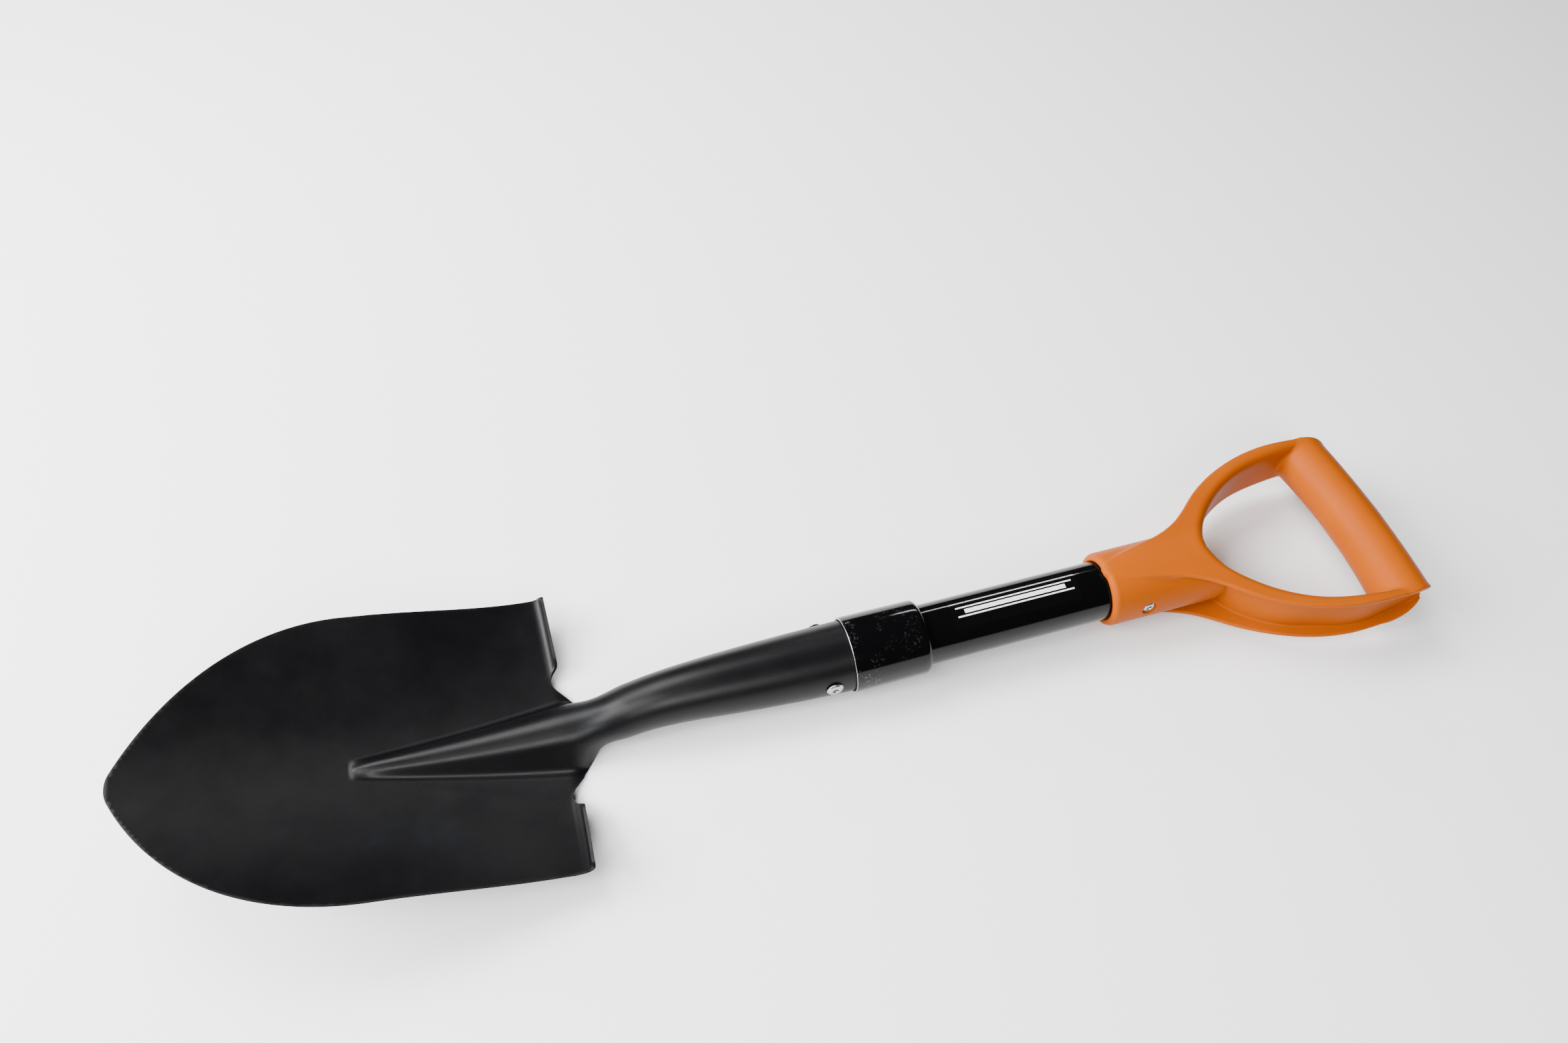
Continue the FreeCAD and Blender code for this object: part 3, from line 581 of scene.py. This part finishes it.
def turned(name, profile, material, node, segments=192, place=None, closed=True,
           bare_and_highlight=None):
    """Solid of revolution about X, or about Y when place gives a rivet's spot and side.

    The last argument picks the profile's segments, by their middle (along, radius), that get bright
    bare metal: cut edges, and bands that paint a highlight.
    """
    angles = np.linspace(0.0, 2.0 * math.pi, segments, endpoint=False)
    p = np.array(profile, float)
    along, radius = p[:, 0][:, None], p[:, 1][:, None]
    ring_a, ring_b = radius * np.cos(angles), radius * np.sin(angles)
    axis = np.broadcast_to(along, ring_a.shape)
    if place is None:
        points = np.stack([axis, ring_a, ring_b], axis=-1)
    else:
        spot, way = place
        points = np.stack([ring_a, axis * way, ring_b * way], axis=-1) + np.array(spot)
    rows = len(p)
    faces = []
    for i in range(rows if closed else rows - 1):
        j = (i + 1) % rows
        for k in range(segments):
            m = (k + 1) % segments
            faces.append((i * segments + k, j * segments + k, j * segments + m, i * segments + m))
    piece = mesh_piece(name, points.reshape(-1, 3), faces, material, node)
    if bare_and_highlight is not None:
        # bright bare metal on the picked segments, some of which is a painted highlight
        piece.data.materials.append(RIVET)
        middles = (p + np.roll(p, -1, axis=0)) / 2.0
        for i in range(rows):
            if bare_and_highlight(*middles[i]):
                for k in range(segments):
                    piece.data.polygons[i * segments + k].material_index = 1
    face_outward(piece.data, merge=True)
    piece.data.set_sharp_from_angle(angle=math.radians(38.0))
    return piece


def make_collar():
    """Sleeve open towards the blade, its rounded shoulder closed down onto the shaft."""
    wall, length, open_radius, shoulder_radius, hole = 0.9, 41.0, 19.65, 19.4, 15.93
    inner_end = length - 1.6
    profile = rounded_profile([(0.0, open_radius - wall, 0.2),
                               (inner_end, shoulder_radius - wall, 0.0), (inner_end, hole, 0.0),
                               (length, hole, 0.2), (length, shoulder_radius, 2.7),
                               (length - 5.0, 19.42, 0.0), (0.0, open_radius, 0.35)])

    # the open rim's band is its cut edge as bare metal, partly a painted highlight on that edge; the
    # band at the closed end is a painted highlight on the enamelled shoulder's rounding
    def cut_edge_and_highlight(along, radius):
        at_open_rim = along < 0.3 and radius > 18.9
        at_closed_end = along > length - 0.5 and radius < 18.2
        return at_open_rim or at_closed_end

    turned("collar_sleeve", profile, SPECKED_BLACK, "collar", 224, bare_and_highlight=cut_edge_and_highlight)


def make_tube():
    wall = 1.2
    bore = SHAFT_RADIUS - wall
    profile = rounded_profile([(SHAFT_START, bore, 0.2), (SHAFT_END, bore, 0.2),
                               (SHAFT_END, SHAFT_RADIUS, 0.3), (SHAFT_START, SHAFT_RADIUS, 0.3)])
    turned("shaft", profile, GLOSS, "shaft_tube", 224)


RIVET_LEVEL = 1.8
HANDLE_RIVET_X = 162.3


def make_rivets():
    """Blind rivets with their snapped mandrels, in mirrored pairs; along is out from the axis."""
    blind_end, bulge, shank, bore = 12.4, 3.1, 2.4, 1.36
    stub_start, stub_head, stub_stem = 10.8, 2.1, 1.3
    # for each pair the place along the shaft, the seat, and the head's radius and height
    spots = {"socket": (-11.4, 18.1, 4.4, 1.5), "handle": (HANDLE_RIVET_X, 17.95, 3.6, 1.2)}
    for group, (x, seat, head, height) in spots.items():
        for side, way in (("left", 1.0), ("right", -1.0)):
            place = ((x, 0.0, RIVET_LEVEL), way)
            top = seat + height
            dome = [(seat, head, 0.15), (seat + height * 0.22, head, 0.3),
                    (seat + height * 0.72, head * 0.80, 0.9), (top, head * 0.50, 0.35),
                    (top - 0.1, 1.75, 0.1), (top - 1.0, bore, 0.0)]
            inner = [(blind_end, bore, 0.0), (blind_end, bulge, 0.3),
                     (blind_end + 1.0, bulge, 0.3), (blind_end + 1.5, shank, 0.0),
                     (seat, shank, 0.0)]
            turned("%s_rivet_%s_head" % (group, side), rounded_profile(inner + dome),
                   RIVET, "%s_rivet_%s" % (group, side), 72, place)
            # the stub sits in the head's hollow; its near-black metal paints the hollow's shade
            snapped = [(stub_start, 0.0), (stub_start, 1.8), (stub_start + 0.3, stub_head),
                       (stub_start + 1.3, stub_head), (stub_start + 1.58, 1.9),
                       (stub_start + 1.58, stub_stem), (top - 1.15, stub_stem),
                       (top - 1.0, 1.1), (top - 1.1, 0.6), (top - 0.95, 0.0)]
            turned("%s_mandrel_%s_stub" % (group, side), snapped, MANDREL_AND_SHADE,
                   "%s_mandrel_%s" % (group, side), 48, place, False)


# ---------------------------------------------------------------- moulded handle
# Half outlines. Seen from above: the flanges' outer edge, the web between the flanges and the
# hand opening, as (x, y). Seen from the side: the flanges' outer faces, as (x, z).
FLANGE_EDGE = [(141.0, 1.6), (150.0, 5.8), (162.0, 9.6), (178.0, 13.4), (194.0, 20.6),
               (210.0, 33.1), (226.0, 43.3), (246.0, 51.2), (268.0, 55.1), (286.0, 55.2),
               (300.0, 53.9), (306.0, 52.4), (310.5, 49.9), (312.7, 46.0), (313.1, 40.0)]
WEB_EDGE = [(202.0, 4.0), (209.5, 19.8), (216.5, 29.7), (228.0, 39.2), (248.0, 46.8),
            (262.0, 50.2), (276.0, 51.2), (292.0, 49.6), (330.0, 47.4)]
OPENING_EDGE = [(202.0, 0.0), (203.2, 5.6), (206.6, 11.7), (212.0, 18.6), (219.5, 26.2),
                (232.5, 35.9), (250.0, 43.9), (268.0, 47.7), (287.0, 49.4), (300.0, 49.4)]
SIDE_EDGE = [(120.0, 18.5), (180.0, 18.5), (202.0, 17.3), (218.0, 16.2), (250.0, 15.9),
             (276.0, 15.8), (290.0, 15.0), (300.0, 13.5), (307.0, 10.8), (311.4, 6.4),
             (312.9, 2.0), (313.1, 0.0)]
FLANGE_THICKNESS = 2.4
CHANNEL_EXTRA, EXTRA_FROM, EXTRA_FULL, EXTRA_END, EXTRA_FADE = 1.2, 206.0, 224.0, 278.0, 30.0
HANDLE_MOUTH, BARREL_END, BARREL_RADIUS, BORE_RADIUS = 141.5, 212.0, 19.85, 16.0
GRIP_X, GRIP_RADIUS, GRIP_BEND = 299.2, 14.05, 370.0
GRIP_END, GRIP_REACH = 44.0, 52.0
COUNTERBORE_RADIUS, COUNTERBORE_FLOOR, RIVET_HOLE_RADIUS = 3.9, 17.9, 2.45


def plane_distance(grid_u, grid_w, points):
    """Signed distance in a plane to a closed outline, negative inside."""
    polygon = np.asarray(points, float)
    flat = np.stack([grid_u.ravel(), grid_w.ravel()], axis=-1)
    distance = edge_distance(flat, polygon)
    inside = inside_polygon(flat, polygon)
    return np.where(inside, -distance, distance).reshape(grid_u.shape)


def mirror_outline(half):
    half = [tuple(p) for p in half]
    return half + [(x, -y) for x, y in reversed(half)]


def soft_max(a, b, k):
    """Intersection with the edge rounded over about k."""
    h = np.clip(0.5 - 0.5 * (a - b) / k, 0.0, 1.0)
    return b * h + a * (1.0 - h) + k * h * (1.0 - h)


def soft_min(a, b, k):
    """Union with the inner corner filled over about k."""
    return -soft_max(-a, -b, k)


def handle_field(x, y, z):
    """Signed distance to the moulding at grid axes x, y >= 0 and z."""
    plan_x, plan_y = np.meshgrid(x, y, indexing="ij")
    side_x, side_z = np.meshgrid(x, z, indexing="ij")
    flange = plane_distance(plan_x, plan_y, mirror_outline(natural_spline(FLANGE_EDGE, 160)))
    web = plane_distance(plan_x, plan_y, mirror_outline(natural_spline(WEB_EDGE, 120)))
    # the opening runs on past the grip, which is added as a bar of its own
    beyond_grip = (345.0, OPENING_EDGE[-1][1])
    opening = list(natural_spline(OPENING_EDGE, 120)) + [beyond_grip]
    hole = plane_distance(plan_x, plan_y, mirror_outline(opening))
    side = plane_distance(side_x, side_z, mirror_outline(natural_spline(SIDE_EDGE, 120)))
    flange, web, hole = flange[:, :, None], web[:, :, None], hole[:, :, None]
    side = side[:, None, :]
    gx, gy, gz = x[:, None, None], y[None, :, None], z[None, None, :]
    body = soft_max(flange, side, 1.0)
    body = soft_max(body, -hole, 6.0)
    centre = np.hypot(gx - (GRIP_X - GRIP_BEND), gy) - GRIP_BEND
    # the grip thickens towards its ends and a little at its middle
    swell = GRIP_RADIUS + 0.6 * (gy / 48.0) ** 2 + 0.12 * np.exp(-(gy / 7.0) ** 2)
    grip = np.hypot(centre, gz) - swell
    # past GRIP_END the grip is cut off along the flanges' outer edge
    grip = np.maximum(grip, np.where(gy > GRIP_END, flange, gy - GRIP_REACH))
    body = soft_min(body, grip, 1.6)
    # the channel is a little deeper along the arms, fading out at the throat and at the grip
    deeper = CHANNEL_EXTRA * smoothstep(gx, EXTRA_FROM, EXTRA_FULL) \
        * smoothstep(EXTRA_END - gx, 0.0, EXTRA_FADE)
    channel = soft_max(side + FLANGE_THICKNESS, -(web + deeper), 0.6)
    body = soft_max(body, -channel, 0.55)
    radial = np.hypot(gy, gz)
    barrel = soft_max(radial - BARREL_RADIUS, HANDLE_MOUTH - gx, 3.4)
    barrel = soft_max(barrel, gx - BARREL_END, 2.0)
    barrel = soft_max(barrel, -hole, 7.0)
    body = soft_min(body, barrel, 2.4)
    bore = np.maximum(radial - BORE_RADIUS, gx - (SHAFT_END + 0.1))
    body = soft_max(body, -bore, 0.6)
    rivet = np.hypot(gx - HANDLE_RIVET_X, gz - RIVET_LEVEL)
    seat = np.maximum(rivet - COUNTERBORE_RADIUS, COUNTERBORE_FLOOR - gy)
    body = soft_max(body, -seat, 0.5)
    return np.maximum(body, -(rivet - RIVET_HOLE_RADIUS))


def make_handle():
    """The moulding as the zero surface of a sampled distance, one half mirrored to the other."""
    voxel = 0.5
    # a block of samples a little larger than the moulding
    x = np.arange(139.0, 316.0, voxel)
    half = np.arange(0.0, 58.0, voxel)
    z = np.arange(-22.0, 22.0 + voxel, voxel)
    field = handle_field(x, half, z)
    field = np.concatenate([field[:, :0:-1, :], field], axis=1).astype(np.float32)
    band = 3.0 * voxel
    grid = openvdb.FloatGrid(band)
    grid.copyFromArray(np.ascontiguousarray(np.clip(field, -band, band)), tolerance=0.0)
    points, quads = grid.convertToQuads(isovalue=0.0)
    points = points * voxel + np.array([x[0], -half[-1], z[0]])
    piece = mesh_piece("handle_moulding", points, quads[:, ::-1], ORANGE, "d_handle")
    face_outward(piece.data)


# ---------------------------------------------------------------- marking
def marking_material():
    """Black film with pale bars along the shaft; u runs along it and v around it."""
    material, tree, shader = node_material("printed_film")
    shader.inputs["Roughness"].default_value = 0.08
    uv = tree.nodes.new("ShaderNodeUVMap")
    uv.uv_map = "film"
    split = tree.nodes.new("ShaderNodeSeparateXYZ")
    tree.links.new(uv.outputs["UV"], split.inputs["Vector"])

    def band(value, centre, half_width):
        offset = math_node(tree, "ABSOLUTE", math_node(tree, "SUBTRACT", value, centre))
        return math_node(tree, "LESS_THAN", offset, half_width)

    def bar(centre, half_width, half_length):
        across = band(split.outputs["Y"], centre, half_width)
        along = band(split.outputs["X"], 0.5, half_length)
        return math_node(tree, "MULTIPLY", across, along)

    thin = math_node(tree, "MAXIMUM", bar(0.36, 0.022, 0.46), bar(0.64, 0.022, 0.46))
    bars = math_node(tree, "MAXIMUM", thin, bar(0.5, 0.065, 0.40))
    mix = tree.nodes.new("ShaderNodeMix")
    mix.data_type = "RGBA"
    mix.inputs["A"].default_value = ENAMEL + (1.0,)
    mix.inputs["B"].default_value = PALE_PRINT + (1.0,)
    tree.links.new(bars, mix.inputs["Factor"])
    tree.links.new(mix.outputs["Result"], shader.inputs["Base Color"])
    return material


def make_marking():
    """Film round the front of the tube, turned a few degrees off its top."""
    start, length, width_angle, off_top, thickness = 56.0, 70.0, 64.0, 4.0, 0.05
    radius = SHAFT_RADIUS + thickness
    columns, rows = 40, 24
    points, uvs = [], []
    for i in range(columns + 1):
        for j in range(rows + 1):
            u, v = i / columns, j / rows
            angle = math.radians(90.0 + off_top + (v - 0.5) * width_angle)
            points.append((start + length * u, radius * math.cos(angle), radius * math.sin(angle)))
            uvs.append((u, v))
    across = rows + 1
    faces = [(i * across + j, (i + 1) * across + j, (i + 1) * across + j + 1, i * across + j + 1)
             for i in range(columns) for j in range(rows)]
    piece = mesh_piece("marking_film", points, faces, marking_material(), "shaft_marking")
    layer = piece.data.uv_layers.new(name="film")
    for loop in piece.data.loops:
        layer.data[loop.index].uv = uvs[loop.vertex_index]


make_blade()
make_collar()
make_tube()
make_handle()
make_rivets()
make_marking()

# ---------------------------------------------------------------- studio
def area_light(name, place, target, width, height, power):
    """White rectangular lamp at place, facing target, in metres and watts."""
    light = bpy.data.lights.new(name, "AREA")
    light.shape = "RECTANGLE"
    light.size = width
    light.size_y = height
    light.energy = power
    lamp = linked(name, light)
    lamp.location = place
    lamp.rotation_euler = (Vector(target) - Vector(place)).to_track_quat("-Z", "Y").to_euler()


def make_studio():
    """Plain pale floor, a faint even surround and five soft lamps."""
    reach = 6.0
    floor_mesh = bpy.data.meshes.new("floor")
    floor_mesh.from_pydata([(-reach, -reach, 0.0), (reach, -reach, 0.0), (reach, reach, 0.0),
                            (-reach, reach, 0.0)], [], [(0, 1, 2, 3)])
    floor = linked("floor", floor_mesh)
    material, _, shader = node_material("floor_paper")
    shader.inputs["Base Color"].default_value = (0.86, 0.86, 0.86, 1.0)
    shader.inputs["Roughness"].default_value = 0.9
    shader.inputs["Specular IOR Level"].default_value = 0.1
    floor_mesh.materials.append(material)
    world = bpy.data.worlds.new("studio")
    bpy.context.scene.world = world
    world.use_nodes = True
    background = world.node_tree.nodes["Background"]
    background.inputs["Color"].default_value = WHITE
    background.inputs["Strength"].default_value = 0.05
    area_light("left_soft", (-1.35, 0.30, 0.85), (0.0, 0.0, 0.0), 1.1, 0.9, 82.0)
    area_light("back_soft", (-0.42, 0.66, 1.18), (0.0, 0.0, 0.0), 0.75, 0.65, 27.0)
    area_light("back_strip", (0.58, 1.28, 0.76), (0.1, 0.0, 0.0), 0.42, 0.09, 4.2)
    area_light("top_left_soft", (-0.92, -0.45, 1.32), (0.0, 0.0, 0.0), 0.8, 0.7, 30.0)
    area_light("front_soft", (-0.34, -1.25, 1.10), (-0.1, 0.0, 0.0), 0.7, 0.5, 23.0)


def make_camera():
    """Camera placed in the tool frame: eye, and its right, down and forward directions."""
    eye = (-114.366, -266.407, 502.018)
    right = turn((0.95912, -0.28295, 0.00579))
    down = turn((-0.22381, -0.77084, -0.59642))
    ahead = turn((0.17322, 0.57074, -0.80265))
    camera_data = bpy.data.cameras.new("main_camera")
    camera_data.sensor_fit = "HORIZONTAL"
    camera_data.sensor_width = 36.0
    camera_data.lens = 25.744
    camera_data.clip_start = 0.01
    camera = linked("main_camera", camera_data)
    place = Vector([float(c) for c in rest(eye)])
    columns = Matrix((right, -down, -ahead)).transposed().to_4x4()
    camera.matrix_world = Matrix.Translation(place) @ columns
    bpy.context.scene.camera = camera


make_studio()
make_camera()
